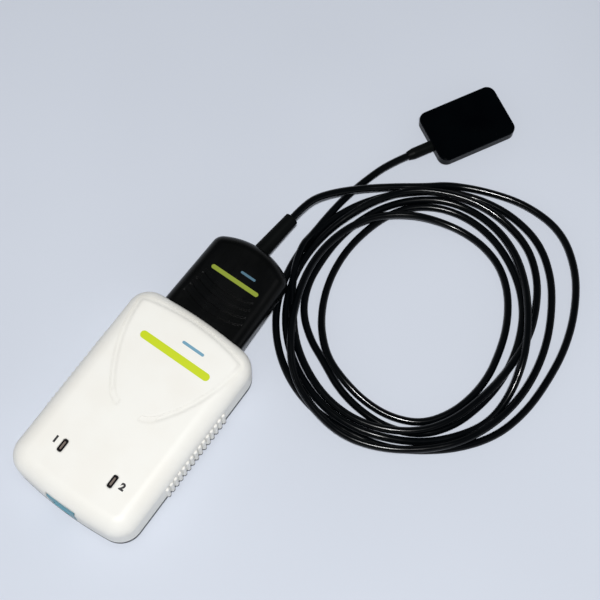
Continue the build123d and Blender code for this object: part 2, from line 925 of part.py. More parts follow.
def make_sensor_face():
    """Flat active face of the sensor head, closed over the tray."""
    face = sensor_slab(0, sensor_body_height, sensor_body_height + sensor_face_thickness)
    return fillet(face.edges().group_by(Axis.Z)[-1], sensor_edge_radius)


def sensor_layer(bottom, thickness, extra=0.0):
    """One layer of the sensor's stack, beside the cable anchor."""
    inner = sensor_length / 2 - sensor_wall
    left = stack_left() - extra
    right = inner - stack_clearance
    half = sensor_width / 2 - sensor_wall - stack_clearance
    corner = sensor_corner_radius - sensor_wall - stack_clearance
    layer = block_between(left, right, -half, half, bottom, bottom + thickness)
    uprights = layer.edges().filter_by(Axis.Z).group_by(Axis.X)[-1]
    return fillet(uprights, corner)


def core_end_x():
    """Inner end of the cable's stripped core, in the sensor's own frame."""
    return -sensor_length / 2 + sensor_wall + stack_clearance + anchor_length + core_tail


def stack_left():
    """Left edge of the sensor's stack; its carrier board reaches further, to just clear of the core."""
    return core_end_x() + stack_clearance + carrier_step


def make_cable_anchor():
    """Block that grips the cable's core inside the sensor head."""
    left = -sensor_length / 2 + sensor_wall + stack_clearance
    half = anchor_width / 2
    block = block_between(
        left, left + anchor_length, sensor_cable_y - half, sensor_cable_y + half,
        sensor_floor, sensor_floor + anchor_height,
    )
    start = (left - overrun, sensor_cable_y, sensor_entry_z)
    return block - rod(core_radius + cable_fit, start, anchor_length + 2 * overrun, "X")


def make_sensor_boot():
    """Tapered boot on the cable where it enters the sensor head."""
    wall_x = -sensor_length / 2
    root_place = (wall_x - boot_length, sensor_cable_y, sensor_entry_z)
    boot = rod(boot_radius, root_place, boot_length, "X")
    taper = Cone(boot_radius, boot_tip_radius, boot_taper, align=(Align.CENTER, Align.CENTER, Align.MIN))
    boot += Pos(*root_place) * Rot(0, -90, 0) * taper
    start = boot_tip_x() - overrun
    length = wall_x + overrun - start
    return boot - rod(cable_radius + cable_fit, (start, sensor_cable_y, sensor_entry_z), length, "X")


def boot_tip_x():
    """Outer end of the boot, in the sensor's own frame."""
    return -sensor_length / 2 - boot_length - boot_taper


def make_sensor_cable_end():
    """The cable's end in the boot and the wall, with its stripped core in the anchor."""
    wall_inside = -sensor_length / 2 + sensor_wall
    jacket_length = wall_inside - boot_tip_x()
    jacket = rod(cable_radius, (boot_tip_x(), sensor_cable_y, sensor_entry_z), jacket_length, "X")
    core_length = core_end_x() - wall_inside
    return jacket + rod(core_radius, (wall_inside, sensor_cable_y, sensor_entry_z), core_length, "X")


def make_sensor_wires():
    """Four fine conductors from the core to the carrier board."""
    length = stack_left() - stack_clearance - core_end_x()
    z = sensor_floor + pad_foam + carrier_thickness + sensor_wire_radius
    return [
        rod(sensor_wire_radius, (core_end_x(), sensor_cable_y + y, z), length, "X")
        for y in wire_places(sensor_wire_pitch)
    ]


def closed_ring_outline(radii):
    """Smooth closed outline around the coil's middle through one radius every 30 degrees."""
    points = []
    for place, radius in enumerate(radii):
        angle = math.radians(coil_start_angle + place * 360 / len(radii))
        points.append((coil_x + radius * math.cos(angle), coil_y + radius * math.sin(angle)))
    return make_face(Spline(*points, periodic=True))


def make_cable_coil():
    """Closed ring that the cable's turns fill, kept clear of the plug beside it."""
    ring = extrude(closed_ring_outline(coil_outer_radii), coil_height)
    ring -= extrude(closed_ring_outline(coil_inner_radii), coil_height)
    return ring - extrude(plug_outline(coil_plug_clearance), coil_height)


def sensor_lead_points():
    """Route of the lead from the sensor's boot to the coil, as runs that turn a little each time."""
    tip = (sensor_place() * Pos(boot_tip_x(), sensor_cable_y, sensor_entry_z)).position
    x, y, z = tip.X, tip.Y, tip.Z
    points = [(x, y, z)]
    for run, turn, drop in sensor_lead_runs:
        heading = math.radians(sensor_turn + 180 + turn)
        x += run * math.cos(heading)
        y += run * math.sin(heading)
        z += drop
        points.append((x, y, z))
    return points


def lead_tube(points, name):
    """Round tube along straight runs joined by arcs as large as the runs allow."""
    corners = [Vector(*point) for point in points]
    radii = []
    for before, here, after in zip(corners, corners[1:], corners[2:]):
        turn = math.radians((here - before).get_angle(after - here))
        shorter = min((here - before).length, (after - here).length)
        radii.append(arc_share * shorter / math.tan(turn / 2))
    path = FilletPolyline(*points, radius=radii)
    start = Plane(origin=path @ 0, z_dir=path % 0)
    tube = sweep(start * Circle(cable_radius), path=path)
    expected = math.pi * cable_radius ** 2 * path.length
    print(name, "length", round(path.length, 1), "radii", [round(r, 1) for r in radii])
    print(name, "volume over section times length", round(tube.volume / expected, 4))
    return tube


def save(node, shape):
    """Writes one node, a single solid or a group of separate solids, under its own name."""
    pieces = shape if isinstance(shape, list) else [shape]
    solids = []
    for piece in pieces:
        solids += piece.solids()
    whole = solids[0] if len(solids) == 1 else Compound(children=solids)
    whole.label = node
    export_step(whole, f"parts/{node}.step")
    print(node, len(solids), "solids", round(sum(s.volume for s in solids), 1), "mm3")


os.makedirs("parts", exist_ok=True)

# Case
save("top_cover", make_top_cover())
save("bottom_cover", make_bottom_cover())
save("rating_plate", make_rating_plate())
save("case_screws", make_case_screws())
save("main_board", make_main_board())
save("image_processor", on_board(processor_size, processor_size, processor_height, 0, processor_y()))
save(
    "port_controller",
    on_board(controller_size, controller_size, controller_height, controller_x, controller_y),
)
save(
    "voltage_regulator",
    on_board(regulator_length, regulator_width, regulator_height, regulator_x, controller_y),
)
save("clock_crystal", on_board(crystal_length, crystal_width, crystal_height, crystal_x, crystal_y()))
save("board_capacitors", make_board_capacitors())
save("status_leds", make_status_leds())
save("sensor_window", make_light_pipe(-1))
save("power_window", make_light_pipe(1))
save("usb_shell", make_usb_shell())
save("usb_insulator", make_usb_insulator())
save("usb_contacts", make_usb_contacts())
save("port_bezel", make_port_bezel())
save("socket_housing", make_socket_housing())
save("socket_springs", make_socket_springs())

# Plug
plug_upper, plug_lower = make_plug_shells()
save("plug_top_shell", plug_upper)
save("plug_bottom_shell", plug_lower)
save("plug_screws", make_plug_screws())
save("plug_board", make_plug_board())
save("plug_pads", make_plug_pads())
save("cable_clamp", make_cable_clamp())
save("strain_relief", make_strain_relief())
save("plug_cable_end", make_plug_cable_end())
save("plug_wires", make_plug_wires())

# Sensor head
place = sensor_place()
layer_z = sensor_floor
save("sensor_back_shell", place * make_sensor_back_shell())
save("sensor_face", place * make_sensor_face())
save("backing_pad", place * sensor_layer(layer_z, pad_foam))
layer_z += pad_foam
save("carrier_board", place * sensor_layer(layer_z, carrier_thickness, carrier_step))
layer_z += carrier_thickness
save("imaging_chip", place * sensor_layer(layer_z, chip_thickness))
layer_z += chip_thickness
save("fibre_optic_plate", place * sensor_layer(layer_z, fibre_thickness))
layer_z += fibre_thickness
save("scintillator", place * sensor_layer(layer_z, scintillator_thickness))
save("cable_anchor", place * make_cable_anchor())
save("sensor_boot", place * make_sensor_boot())
save("sensor_cable_end", place * make_sensor_cable_end())
save("sensor_wires", [place * wire for wire in make_sensor_wires()])

# Cable
save("plug_lead", lead_tube(plug_lead_points, "plug_lead"))
save("sensor_lead", lead_tube(sensor_lead_points(), "sensor_lead"))
save("cable_coil", make_cable_coil())
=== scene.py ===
import math

import bmesh
import bpy
import numpy as np
from mathutils import Matrix, Vector


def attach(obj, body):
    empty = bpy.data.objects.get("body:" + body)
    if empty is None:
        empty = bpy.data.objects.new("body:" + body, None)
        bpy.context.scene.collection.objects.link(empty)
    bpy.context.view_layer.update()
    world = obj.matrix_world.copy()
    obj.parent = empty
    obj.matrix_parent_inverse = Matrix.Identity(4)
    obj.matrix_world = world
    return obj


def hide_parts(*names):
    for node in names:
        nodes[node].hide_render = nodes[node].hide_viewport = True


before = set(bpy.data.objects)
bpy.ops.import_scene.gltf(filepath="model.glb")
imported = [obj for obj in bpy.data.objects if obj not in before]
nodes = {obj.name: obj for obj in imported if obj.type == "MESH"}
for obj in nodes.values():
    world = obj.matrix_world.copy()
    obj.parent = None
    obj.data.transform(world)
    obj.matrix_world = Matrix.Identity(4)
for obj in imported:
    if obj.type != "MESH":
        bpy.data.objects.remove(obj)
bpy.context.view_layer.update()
mm = 0.001
print("frame loaded:", len(nodes), "nodes")


# Camera, floor and light

cameraSetup = {
    "place": (125.3, -76.6, 510.4),  # mm, high up to the right of the case and behind it
    "forward": (-0.1897, 0.2820, -0.9405),
    "up": (-0.5472, 0.7649, 0.3398),
    "lens": 82.07,
    "sensorWidth": 36.0,
    "clip": (0.01, 20.0),  # metres
}


def placeCamera(setup):
    data = bpy.data.cameras.new("camera")
    data.lens = setup["lens"]
    data.sensor_width = setup["sensorWidth"]
    data.clip_start, data.clip_end = setup["clip"]
    camera = bpy.data.objects.new("camera", data)
    bpy.context.scene.collection.objects.link(camera)
    forward = Vector(setup["forward"]).normalized()
    right = forward.cross(Vector(setup["up"])).normalized()
    turn = Matrix((right, right.cross(forward), -forward)).transposed().to_4x4()
    camera.matrix_world = Matrix.Translation(Vector(setup["place"]) * mm) @ turn
    bpy.context.scene.camera = camera


placeCamera(cameraSetup)
bpy.context.scene.view_settings.view_transform = "Standard"
print("camera placed")


# The cable: one curve from the plug's strain relief round the coil to the sensor's boot

cable = {
    "diameter": 3.0,
    "length": 1.93,  # metres, all of it shows
    "coilMiddle": (63.1, 99.3),
    "firstAngle": 125.5,  # degrees from +X, where the first turn starts; the turns run clockwise
    "stationAngle": 15.0,
    "spacing": 3.08,  # middle to middle of two turns that touch
    "besideFrom": 2.1,  # turns nearer than this lie on each other
    "plugLead": [
        (1.7, 99.7, 9.5), (2.51, 108.5, 9.5), (5.6, 116.2, 7.9), (13.4, 126.0, 5.9), (24.8, 136.1, 4.8),
        (36.8, 144.8, 4.6),
    ],
    "sensorLead": [
        (10.54, 101.74, 1.5), (10.9, 112.03, 1.5), (11.99, 122.48, 1.7), (14.44, 133.51, 2.1),
        (18.05, 144.95, 2.5), (22.48, 152.79, 2.5),
    ],
    "turns": [  # radius of the cable's middle every 30 degrees
        [53.7, 59.2, 67.8, 61.9, 57.0, 57.8, 56.0, 56.8, 57.7, 55.8, 52.2, 50.4],
        [51.4, 54.8, 57.3, 52.7, 51.5, 53.7, 56.4, 58.9, 55.8, 47.8, 44.9, 42.8],
        [39.5, 38.7, 38.1, 35.6, 35.6, 40.3, 45.5, 42.8, 40.8, 37.6, 36.8, 39.2],
        [44.7, 44.8, 42.5, 41.5, 41.5, 44.8, 50.3, 46.6, 42.4, 45.5, 43.0, 44.3],
        [47.9, 49.2, 45.6, 42.4, 45.1, 52.0, 53.0, 54.4, 53.5, 51.8, 49.8, 48.3],
        [50.2, 51.6, 52.3, 46.4, 42.5, 43.0, 49.2, 51.8, 50.9, 49.3, 52.5],
    ],
    "layers": [  # up to which station a stretch runs, and its rank in the pile
        (3.5, 7.0), (33, 1.0), (48, 6.0), (72, 4.0), (96, 2.0), (101, 3.0), (106, 4.8), (120, 3.0),
        (141, 4.5),
    ],
    "partPasses": 4,
    "pilePasses": 10,
    "fineSteps": 4,  # places from one station to the next where the pile's heights are worked out
    "order": 3,
    "curveSteps": 10,
    "roundSteps": 5,
}


def stationRadii():
    radii = np.array([radius for turn in cable["turns"] for radius in turn])
    before = np.concatenate([radii[:1], radii[:-2]])
    after = np.concatenate([radii[2:], radii[-1:]])
    stations = np.empty(2 * len(radii) - 1)
    stations[0::2] = radii
    # halfway between two given radii, by the four-point rule
    stations[1::2] = (9 * (radii[:-1] + radii[1:]) - before - after) / 16
    return stations


def partTurns(radii, perTurn):
    for _ in range(cable["partPasses"]):
        for here in range(len(radii)):
            for other in range(here + perTurn, len(radii), perTurn):
                gap = radii[other] - radii[here]
                if cable["besideFrom"] < abs(gap) < cable["spacing"]:
                    push = math.copysign((cable["spacing"] - abs(gap)) / 2, gap)
                    radii[here] -= push
                    radii[other] += push


def layerRank(station):
    for last, rank in cable["layers"]:
        if station <= last:
            return rank
    return cable["layers"][-1][1]


def pileHeights(radii, perTurn):
    steps = cable["fineSteps"]
    places = np.arange((len(radii) - 1) * steps + 1) / steps
    ranks = [layerRank(place) for place in places]
    fineRadii = np.interp(places, np.arange(len(radii)), radii)
    low = cable["diameter"] / 2
    heights = np.full(len(radii), low)
    for _ in range(cable["pilePasses"]):
        fine = np.interp(places, np.arange(len(radii)), heights)
        need = np.full(len(places), low)
        for here in range(len(places)):
            for other in range(here + perTurn * steps, len(places), perTurn * steps):
                gap = abs(fineRadii[other] - fineRadii[here])
                if gap < cable["spacing"]:
                    under, over = (here, other) if ranks[here] < ranks[other] else (other, here)
                    rise = math.sqrt(cable["spacing"] ** 2 - gap ** 2)
                    need[over] = max(need[over], fine[under] + rise)
        wanted = np.array([
            need[max(0, (k - 1) * steps):(k + 1) * steps + 1].max() for k in range(len(radii))
        ])
        eased = wanted.copy()
        eased[1:-1] = (wanted[:-2] + 2 * wanted[1:-1] + wanted[2:]) / 4
        heights = np.maximum(wanted, eased)
    return heights


def coilPoints():
    perTurn = round(360 / cable["stationAngle"])
    radii = stationRadii()
    partTurns(radii, perTurn)
    heights = pileHeights(radii, perTurn)
    # so that the lines between the points touch the wanted radius
    outward = 1 / math.cos(math.radians(cable["stationAngle"] / 2))
    middleX, middleY = cable["coilMiddle"]
    points = []
    for station in range(1, len(radii)):
        angle = math.radians(cable["firstAngle"] - station * cable["stationAngle"])
        reach = radii[station] * outward
        points.append((
            middleX + reach * math.cos(angle), middleY + reach * math.sin(angle), heights[station],
        ))
    print("coil stands", round(float(heights.max()) + cable["diameter"] / 2, 2), "mm high")
    return points


def makeCable():
    points = cable["plugLead"] + coilPoints() + cable["sensorLead"]
    curve = bpy.data.curves.new("sensor_cable", "CURVE")
    curve.dimensions = "3D"
    spline = curve.splines.new("NURBS")
    spline.points.add(len(points) - 1)
    for point, place in zip(spline.points, points):
        point.co = (place[0] * mm, place[1] * mm, place[2] * mm, 1.0)
        point.radius = cable["diameter"] / 2 * mm  # times a bevel depth of 1
    spline.order_u = cable["order"]
    spline.use_endpoint_u = True
    curve.resolution_u = cable["curveSteps"]
    curve.bevel_depth = 1.0
    curve.bevel_resolution = cable["roundSteps"]
    curve.use_fill_caps = True
    piece = bpy.data.objects.new("sensor_cable", curve)
    bpy.context.scene.collection.objects.link(piece)
    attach(piece, "plug")
    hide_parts("plug_lead", "cable_coil", "sensor_lead")
    return piece


sensorCable = makeCable()
print("cable laid")


# Shader and geometry trees

def linear(red, green, blue):  # a colour as it shows on a screen, 0 to 255
    def channel(value):
        share = value / 255
        return share / 12.92 if share <= 0.04045 else ((share + 0.055) / 1.055) ** 2.4
    return (channel(red), channel(green), channel(blue), 1.0)


class Wire:  # one output socket, with the usual operators on its value
    def __init__(self, board, socket):
        self.board = board
        self.socket = socket

    def maths(self, operation, first, second=0.0, third=0.0):
        return self.board.add("ShaderNodeMath", {"operation": operation}, {0: first, 1: second, 2: third})

    def __add__(self, other):
        return self.maths("ADD", self, other)

    def __radd__(self, other):
        return self.maths("ADD", other, self)

    def __sub__(self, other):
        return self.maths("SUBTRACT", self, other)

    def __rsub__(self, other):
        return self.maths("SUBTRACT", other, self)

    def __mul__(self, other):
        return self.maths("MULTIPLY", self, other)

    def __rmul__(self, other):
        return self.maths("MULTIPLY", other, self)

    def __truediv__(self, other):
        return self.maths("DIVIDE", self, other)

    def __rtruediv__(self, other):
        return self.maths("DIVIDE", other, self)

    def __pow__(self, other):
        return self.maths("POWER", self, other)

    def __abs__(self):
        return self.maths("ABSOLUTE", self)

    def over(self, limit):
        return self.maths("GREATER_THAN", self, limit)

    def under(self, limit):
        return self.maths("LESS_THAN", self, limit)

    def most(self, other):
        return self.maths("MAXIMUM", self, other)

    def least(self, other):
        return self.maths("MINIMUM", self, other)

    def repeat(self, length):
        return self.maths("WRAP", self, length, 0.0)

    def ramp(self, low, high, first=0.0, last=1.0):
        return self.board.add(
            "ShaderNodeMapRange", {"interpolation_type": "SMOOTHSTEP"},
            {"Value": self, "From Min": low, "From Max": high, "To Min": first, "To Max": last},
        )


markFeather = 0.06  # mm, how softly a mark ends: a dash of print, and a painted glint
shaderSamples = 4


class Board:  # one node tree
    def __init__(self, tree):
        self.tree = tree
        tree.nodes.clear()

    def add(self, kind, settings=None, sockets=None, output=0):
        node = self.tree.nodes.new(kind)
        for name, value in (settings or {}).items():
            setattr(node, name, value)
        for name, value in (sockets or {}).items():
            if isinstance(value, (Wire, list)):
                for wire in value if isinstance(value, list) else [value]:
                    self.tree.links.new(wire.socket, node.inputs[name])
            else:
                node.inputs[name].default_value = value
        return Wire(self, node.outputs[output]) if node.outputs else None

    def place(self):  # object coordinates in millimetres
        coordinates = self.add("ShaderNodeTexCoord", output=3)
        return self.add("ShaderNodeVectorMath", {"operation": "SCALE"}, {0: coordinates, "Scale": 1 / mm})

    def vector(self, x, y, z):
        return self.add("ShaderNodeCombineXYZ", {}, {0: x, 1: y, 2: z})

    def stretched(self, place, scale):
        return self.add("ShaderNodeVectorMath", {"operation": "MULTIPLY"}, {0: place, 1: scale})

    def turned(self, place, middle, degrees):
        return self.add(
            "ShaderNodeMapping", {"vector_type": "TEXTURE"},
            {"Vector": place, "Location": middle, "Rotation": (0.0, 0.0, math.radians(degrees))},
        )

    def axes(self, place):
        split = self.tree.nodes.new("ShaderNodeSeparateXYZ")
        self.tree.links.new(place.socket, split.inputs[0])
        return [Wire(self, socket) for socket in split.outputs]

    def noise(self, place, size, detail=2.0, roughness=0.5):
        return self.add(
            "ShaderNodeTexNoise", {},
            {"Vector": place, "Scale": 1 / size, "Detail": detail, "Roughness": roughness},
        )

    def cells(self, place, size, output=0):
        return self.add("ShaderNodeTexVoronoi", {}, {"Vector": place, "Scale": 1 / size}, output)

    def blend(self, mask, first, second):
        return self.add("ShaderNodeMix", {"data_type": "RGBA"}, {0: mask, 6: first, 7: second}, 2)

    def bump(self, height, depth, normal=None):
        sockets = {"Height": height, "Distance": depth * mm, "Strength": 1.0}
        if normal is not None:
            sockets["Normal"] = normal
        return self.add("ShaderNodeBump", {}, sockets)

    def softEdge(self, radius):
        return self.add("ShaderNodeBevel", {"samples": shaderSamples}, {"Radius": radius * mm})

    def softRoof(self, place, look):  # a wider soft edge above a height, for shallow channels
        height = self.axes(place)[2]
        start = look["roofFrom"] - look["roofFade"]
        return self.softEdge(height.ramp(start, look["roofFrom"], look["edge"], look["roofEdge"]))

    def mark(self, place, mark):  # 1 on a dash with round ends, on the top face only; it marks print, and a painted glint on the windows
        x, y, z = self.axes(place)
        radius = min(mark["half"])
        beyondX = (abs(x - mark["middle"][0]) - (mark["half"][0] - radius)).most(0.0)
        beyondY = (abs(y - mark["middle"][1]) - (mark["half"][1] - radius)).most(0.0)
        reach = (beyondX * beyondX + beyondY * beyondY) ** 0.5
        inside = reach.ramp(radius - markFeather, radius + markFeather, 1.0, 0.0)
        return inside * z.over(mark["above"])

    def footRim(self, place, foot):  # 1 low on the rim of a rounded outline, 0 inside it
        x, y, z = self.axes(place)
        beyondX = (abs(x) - (foot["half"][0] - foot["corner"])).most(0.0)
        beyondY = (abs(y) + x * x * foot["bow"] - (foot["half"][1] - foot["corner"])).most(0.0)
        reach = (beyondX * beyondX + beyondY * beyondY) ** 0.5
        low = z.ramp(foot["top"] - foot["fade"], foot["top"], 1.0, 0.0)
        return reach.over(foot["corner"] - foot["width"]) * low

    def crease(self, reach):  # ambient occlusion: 1 in the open, less in creases where shade falls
        settings = {"samples": shaderSamples, "only_local": True}
        return self.add("ShaderNodeAmbientOcclusion", settings, {"Distance": reach * mm}, 1)

    def surface(self, sockets):
        shader = self.add("ShaderNodeBsdfPrincipled", {}, sockets)
        self.add("ShaderNodeOutputMaterial", {}, {"Surface": shader})


def newMaterial(name):
    material = bpy.data.materials.new(name)
    material.use_nodes = True
    return material, Board(material.node_tree)


# Moulded plastics and rubbers: cloudy colour, a grained or rippled skin, wiping marks, dust, and painted
# shade darkening creases

def moulded(name, look):
    material, board = newMaterial(name)
    place = board.place()
    cloud = board.noise(place, look["cloudSize"], look["cloudDetail"])
    grain = board.noise(place, look["grainSize"], look["grainDetail"])
    wiped = board.stretched(place, look["smearStretch"])
    smear = board.noise(wiped, look["smearSize"], look["smearDetail"], look["smearRoughness"])
    drawn = board.stretched(place, look["hairStretch"])
    hair = abs(board.noise(drawn, look["hairSize"], look["hairDetail"]) - 0.5)
    hairline = hair.ramp(0.0, look["hairWidth"], 1.0, 0.0) * smear.ramp(*look["hairWhere"])
    dust = board.cells(place, look["dustSpacing"]).ramp(*look["dustGrain"], 1.0, 0.0)
    settled = board.noise(place, look["dustSpacing"] * look["dustPatch"], look["dustDetail"])
    dust = dust * settled.ramp(*look["dustWhere"])
    colour = board.blend(cloud.ramp(*look["cloudBand"]), look["colour"], look["shade"])
    # dashes of print, and painted glints of light on the windows
    for mark in look["printsAndGlints"]:
        colour = board.blend(board.mark(place, mark), colour, mark["ink"])
    # painted shade: the colour darkens in creases and recesses by ambient occlusion
    creased = board.crease(look["creaseReach"]).ramp(*look["creaseBand"], look["crease"], 0.0)
    colour = board.blend(creased, colour, look["creaseShadeColour"])
    colour = board.blend(dust * look["dust"], colour, look["dustColour"])
    if "foot" in look:
        colour = board.blend(board.footRim(place, look["foot"]), colour, look["foot"]["colour"])
    rough = smear.ramp(*look["smearBand"], *look["rough"])
    rough = rough + hairline * look["hairRough"] + dust * look["dustRough"]
    ripple = board.noise(place, look["rippleSize"], look["rippleDetail"])
    edge = board.softRoof(place, look) if "roofFrom" in look else board.softEdge(look["edge"])
    normal = board.bump(ripple, look["rippleDepth"], edge)
    normal = board.bump(grain, look["grainDepth"], normal)
    normal = board.bump(1 - hairline, look["hairDepth"], normal)
    board.surface({
        "Base Color": colour, "Roughness": rough, "Normal": normal, "IOR": look["ior"],
        "Coat Weight": look["coat"], "Coat Roughness": look["coatRough"],
    })
    return material


mouldedBasics = {  # sizes, depths, edges and reaches in mm; a band is where a change starts and ends
    "cloudSize": 14.0, "cloudDetail": 3.0, "cloudBand": (0.3, 0.7),
    "grainSize": 0.25, "grainDetail": 2.0, "grainDepth": 0.004,
    "rippleSize": 6.0, "rippleDetail": 1.0, "rippleDepth": 0.01,
    "smearSize": 9.0, "smearDetail": 4.0, "smearRoughness": 0.6, "smearStretch": (1.0, 0.35, 1.0),
    "smearBand": (0.35, 0.65),
    "hairSize": 3.0, "hairDetail": 1.0, "hairStretch": (1.0, 0.16, 0.5), "hairWidth": 0.004,
    "hairWhere": (0.5, 0.62), "hairDepth": 0.0015, "hairRough": 0.12,
    "dust": 0.25, "dustSpacing": 2.2, "dustGrain": (0.02, 0.07), "dustPatch": 5.0, "dustDetail": 1.0,
    "dustWhere": (0.52, 0.6), "dustRough": 0.3, "dustColour": linear(190, 188, 182),
    # the crease values set the painted shade in creases and recesses
    "crease": 0.3, "creaseReach": 1.2, "creaseBand": (0.2, 0.9), "creaseShadeColour": linear(60, 58, 54),
    "edge": 0.25, "ior": 1.46, "coat": 0.0, "coatRough": 0.1, "printsAndGlints": [],
}
limeInk = linear(200, 216, 12)
tealInk = linear(112, 160, 184)

casePlastic = mouldedBasics | {
    "colour": linear(242, 241, 235), "shade": linear(240, 238, 231), "rough": (0.44, 0.5),
    "grainSize": 0.35, "grainDepth": 0.003, "rippleSize": 12.0, "rippleDepth": 0.006, "dust": 0.04,
    # painted shade in the roof's channel and other creases, kept pale
    "dustColour": linear(150, 148, 140), "crease": 0.14, "creaseShadeColour": linear(176, 174, 166),
    "creaseReach": 0.8, "edge": 0.4, "roofFrom": 14.5, "roofFade": 1.0, "roofEdge": 1.2,
    "hairRough": 0.03, "hairDepth": 0.0005,
    "printsAndGlints": [
        {"middle": (1.0, 25.0), "half": (16.0, 1.6), "above": 19.5, "ink": limeInk},
        {"middle": (5.0, 31.2), "half": (5.0, 0.6), "above": 19.5, "ink": tealInk},
    ],
    "foot": {  # a painted dark line round the foot of the case
        "half": (27.8, 44.0), "corner": 9.0, "bow": 0.0031, "width": 1.1, "top": 3.5, "fade": 0.3,
        "colour": linear(20, 23, 30),
    },
}
plugPlastic = mouldedBasics | {
    "colour": linear(2, 3, 3), "shade": linear(4, 5, 6), "rough": (0.24, 0.31),
    "grainSize": 0.16, "grainDepth": 0.006, "crease": 0.6, "creaseShadeColour": linear(1, 1, 1),
    "edge": 0.3, "dust": 0.04, "ior": 1.3,
    "printsAndGlints": [
        {"middle": (0.4, 63.6), "half": (11.0, 0.9), "above": 15.5, "ink": linear(140, 154, 58)},
        {"middle": (3.6, 68.0), "half": (3.4, 0.5), "above": 15.5, "ink": linear(84, 116, 134)},
    ],
}
reliefRubber = mouldedBasics | {
    "colour": linear(7, 9, 9), "shade": linear(11, 13, 13), "rough": (0.34, 0.5),
    "grainSize": 0.3, "grainDepth": 0.01, "edge": 0.3, "dust": 0.05, "ior": 1.12,
}
cableJacket = mouldedBasics | {
    "colour": linear(2, 4, 6), "shade": linear(4, 6, 8), "rough": (0.12, 0.2),
    "grainSize": 0.5, "grainDepth": 0.003, "rippleSize": 4.0, "rippleDepth": 0.02, "edge": 0.1,
    "crease": 0.0, "dust": 0.04, "dustSpacing": 1.6, "ior": 1.3,
}
sensorPlastic = mouldedBasics | {
    "colour": linear(1, 2, 4), "shade": linear(2, 4, 6), "rough": (0.08, 0.14),
    "grainSize": 0.4, "grainDepth": 0.001, "rippleSize": 8.0, "rippleDepth": 0.004, "edge": 0.4,
    "crease": 0.1, "dust": 0.05, "dustSpacing": 1.4, "ior": 1.14,
}
tealPlastic = mouldedBasics | {
    "colour": linear(93, 154, 171), "shade": linear(84, 146, 164), "rough": (0.3, 0.42),
    "creaseShadeColour": linear(30, 60, 72), "crease": 0.5,
}
darkPlastic = mouldedBasics | {
    "colour": linear(34, 35, 37), "shade": linear(40, 41, 43), "rough": (0.42, 0.55), "grainDepth": 0.01,
}
portInsulator = mouldedBasics | {
    "colour": linear(222, 220, 212), "shade": linear(214, 211, 202), "rough": (0.4, 0.52),
}
smokedWindow = mouldedBasics | {
    "colour": linear(30, 28, 28), "shade": linear(20, 19, 20), "rough": (0.08, 0.16), "cloudSize": 1.6,
    "coat": 0.6, "coatRough": 0.05, "edge": 0.2, "creaseShadeColour": linear(8, 8, 9), "crease": 0.6,
    "dust": 0.0,
    "printsAndGlints": [  # painted glint: a lighter patch of light in the middle of each window
        {"middle": (side * 11.6, -26.3), "half": (0.34, 1.7), "above": 19.0, "ink": linear(128, 116, 108)}
        for side in (-1, 1)
    ],
}
ink = mouldedBasics | {
    "colour": linear(24, 24, 26), "shade": linear(32, 32, 34), "rough": (0.4, 0.5), "edge": 0.02,
    "dust": 0.0, "crease": 0.0,
}
foamPad = mouldedBasics | {
    "colour": linear(70, 72, 76), "shade": linear(58, 60, 64), "rough": (0.85, 0.95), "grainSize": 0.4,
    "grainDepth": 0.15, "cloudSize": 2.0, "edge": 0.1,
}
chipPlastic = mouldedBasics | {
    "colour": linear(36, 36, 38), "shade": linear(42, 42, 44), "rough": (0.55, 0.7), "grainSize": 0.12,
    "grainDepth": 0.01, "edge": 0.1,
}


# Metals: a worn base with fine drawing or rolling lines

def worked(name, look):
    material, board = newMaterial(name)
    place = board.place()
    drawn = board.stretched(place, look["lineStretch"])
    lines = board.noise(drawn, look["lineSize"], look["lineDetail"], look["lineRoughness"])
    stain = board.noise(place, look["stainSize"], look["stainDetail"], look["stainRoughness"])
    creased = board.crease(look["creaseReach"]).ramp(*look["creaseBand"], look["crease"], 0.0)
    tarnish = creased.most(stain.ramp(*look["stainBand"], 0.0, look["tarnish"]))
    colour = board.blend(tarnish, look["colour"], look["tarnishColour"])
    rough = lines.ramp(*look["lineBand"], *look["rough"]) + tarnish * look["tarnishRough"]
    normal = board.bump(lines, look["lineDepth"], board.softEdge(look["edge"]))
    board.surface({"Base Color": colour, "Roughness": rough, "Normal": normal, "Metallic": 1.0})
    return material


metalBasics = {
    "lineStretch": (1.0, 1.0, 0.08), "lineSize": 0.12, "lineDetail": 3.0, "lineRoughness": 0.7,
    "lineBand": (0.3, 0.7), "lineDepth": 0.003,
    "stainSize": 3.0, "stainDetail": 4.0, "stainRoughness": 0.6, "stainBand": (0.55, 0.75),
    "crease": 0.6, "creaseReach": 0.6, "creaseBand": (0.2, 0.9),
    "tarnish": 0.35, "tarnishRough": 0.15, "rough": (0.24, 0.36), "edge": 0.12,
}
screwSteel = metalBasics | {"colour": linear(176, 176, 174), "tarnishColour": linear(112, 110, 106)}
brightCan = metalBasics | {
    "colour": linear(206, 207, 208), "tarnishColour": linear(150, 150, 148), "lineStretch": (0.1, 1.0, 1.0),
}
contactSteel = metalBasics | {
    "colour": linear(190, 190, 188), "tarnishColour": linear(130, 128, 122), "lineStretch": (1.0, 0.1, 1.0),
}
goldContacts = metalBasics | {
    "colour": linear(232, 190, 104), "tarnishColour": linear(168, 128, 66), "rough": (0.18, 0.3),
    "lineStretch": (1.0, 0.1, 1.0),
}

# Circuit boards: green lacquer over copper tracks, with tinned pads

circuitBoard = {
    "lacquer": linear(24, 92, 58), "overTrack": linear(38, 118, 74), "pad": linear(196, 196, 190),
    "edge": linear(150, 140, 96), "trackPitch": 1.6, "trackShare": 0.34, "padPitch": 2.4,
    "padSize": 0.34, "patch": 11.0, "rough": (0.26, 0.4), "trackDepth": 0.03, "trackSlant": 0.02,
    "gapSize": 2.4, "gapStretch": (0.5, 0.5, 0.5), "gapBelow": 0.46, "padsAbove": 0.62,
    "weaveSize": 0.5, "weaveBand": (0.3, 0.7), "weaveDepth": 0.006, "edgeRough": 0.3, "softEdge": 0.08,
}


